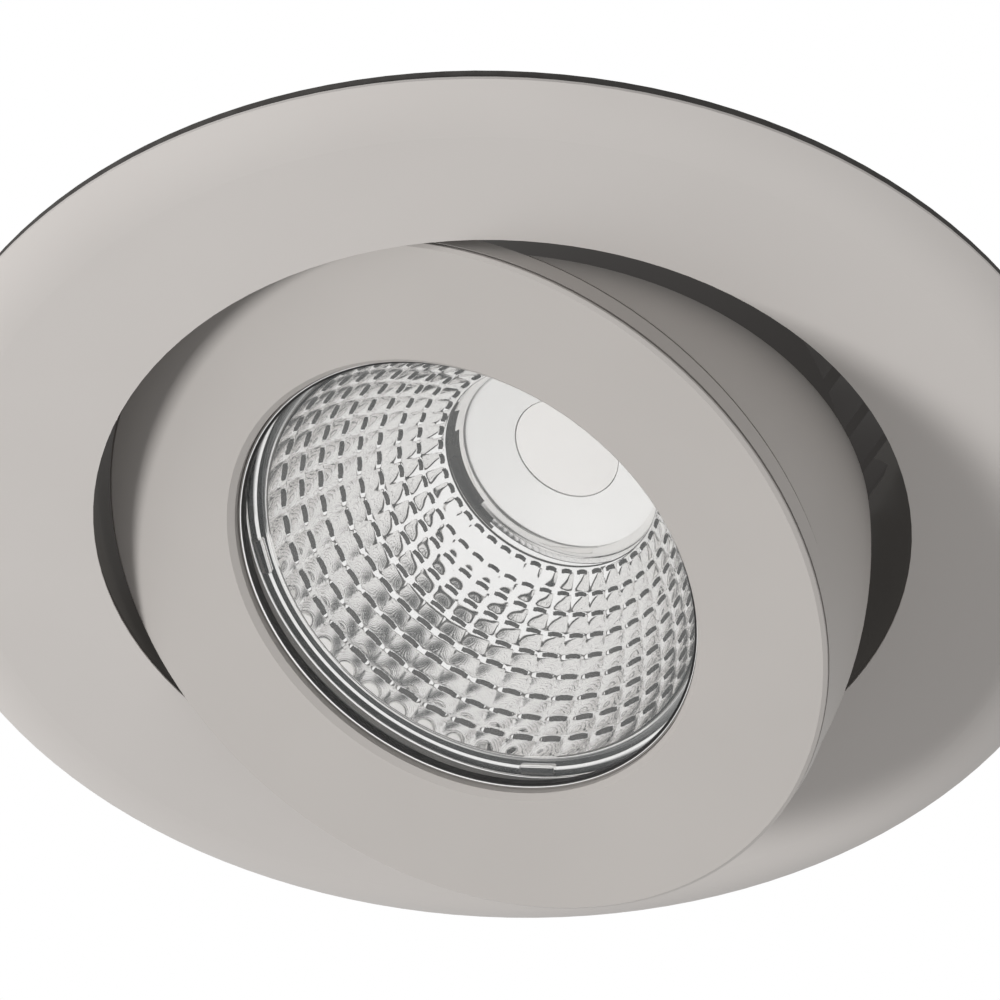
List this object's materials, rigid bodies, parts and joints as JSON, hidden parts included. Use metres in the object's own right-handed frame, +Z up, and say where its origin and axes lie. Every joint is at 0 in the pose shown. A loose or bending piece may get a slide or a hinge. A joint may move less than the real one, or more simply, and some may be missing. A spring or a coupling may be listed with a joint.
{
  "type": "recessed soffit downlight",
  "caption": "Round recessed soffit downlight: a flat trim ring with a domed edge, a swivelling and tilting lamp head with a faceted reflector, and two sprung holding arms.",
  "frame": {"origin": "centre of the trim flange's back face, in the plane of the soffit's surface", "axes": "+Z up into the soffit along the trim's axis, -Z out of it towards the room or porch; +X through the right holding arm, +Y completes a right-handed frame"},
  "size_m": [0.168, 0.11, 0.0648],
  "materials": {
    "satin_nickel": "satin nickel plate, fine and even",
    "gasket_foam": "dark grey closed-cell foam",
    "black_rubber": "matt black silicone rubber",
    "spring_steel": "bright spring steel",
    "steel_screws": "zinc-plated steel",
    "bracket_steel": "zinc-plated sheet steel",
    "black_coating": "matt black powder coat",
    "washer_plastic": "matt black nylon",
    "clear_glass": "clear, flat, polished both sides",
    "reflector_chrome": "bright vacuum-metallised facets",
    "white_plastic": "matt white",
    "board_aluminium": "white-masked aluminium core",
    "led_phosphor": "translucent pale disc, unlit",
    "grey_pad": "soft grey pad",
    "sink_black": "black anodised",
    "black_plastic": "matt black nylon"
  },
  "bodies": {
    "trim": {"trim_ring": "satin_nickel", "ceiling_gasket": "gasket_foam", "snap_ring": "spring_steel", "clip_screws": "steel_screws", "clip_bracket_right": "bracket_steel", "clip_pin_right": "steel_screws", "clip_spring_right": "spring_steel", "clip_bracket_left": "bracket_steel", "clip_pin_left": "steel_screws", "clip_spring_left": "spring_steel"},
    "carrier": {"carrier_ring": "black_coating", "pivot_pins": "steel_screws", "friction_washers": "washer_plastic"},
    "head": {"gimbal_ring": "satin_nickel", "glass_seal": "black_rubber", "front_glass": "clear_glass", "reflector": "reflector_chrome", "led_holder": "white_plastic", "led_board": "board_aluminium", "led_emitter": "led_phosphor", "thermal_pad": "grey_pad", "holder_screws": "steel_screws", "heat_sink": "sink_black", "head_screws": "steel_screws", "cable_gland": "black_plastic"},
    "arm_right": {"clip_arm_right": "bracket_steel", "clip_sleeve_right": "black_rubber"},
    "arm_left": {"clip_arm_left": "bracket_steel", "clip_sleeve_left": "black_rubber"}
  },
  "joints": [
    {"name": "swivel", "type": "hinge", "parent": "trim", "child": "carrier", "pos_m": [0, 0, 0.0035], "axis": [0, 0, 1], "range_deg": [-174, 174]},
    {"name": "tilt", "type": "hinge", "parent": "carrier", "child": "head", "pos_m": [-0.01805, -0.00764, 0.0019], "axis": [-0.3899, 0.9208, 0], "range_deg": [-24.3, 0.7]},
    {"name": "right_arm", "type": "hinge", "parent": "trim", "child": "arm_right", "pos_m": [0.0464, 0, 0.012], "axis": [0, -1, 0], "range_deg": [0, 95], "stiffness_Nm_per_rad": 0.06, "springref_deg": -28.65, "deforming": ["clip_spring_right"]},
    {"name": "left_arm", "type": "hinge", "parent": "trim", "child": "arm_left", "pos_m": [-0.0464, 0, 0.012], "axis": [0, 1, 0], "range_deg": [0, 95], "stiffness_Nm_per_rad": 0.06, "springref_deg": -28.65, "deforming": ["clip_spring_left"]}
  ]
}
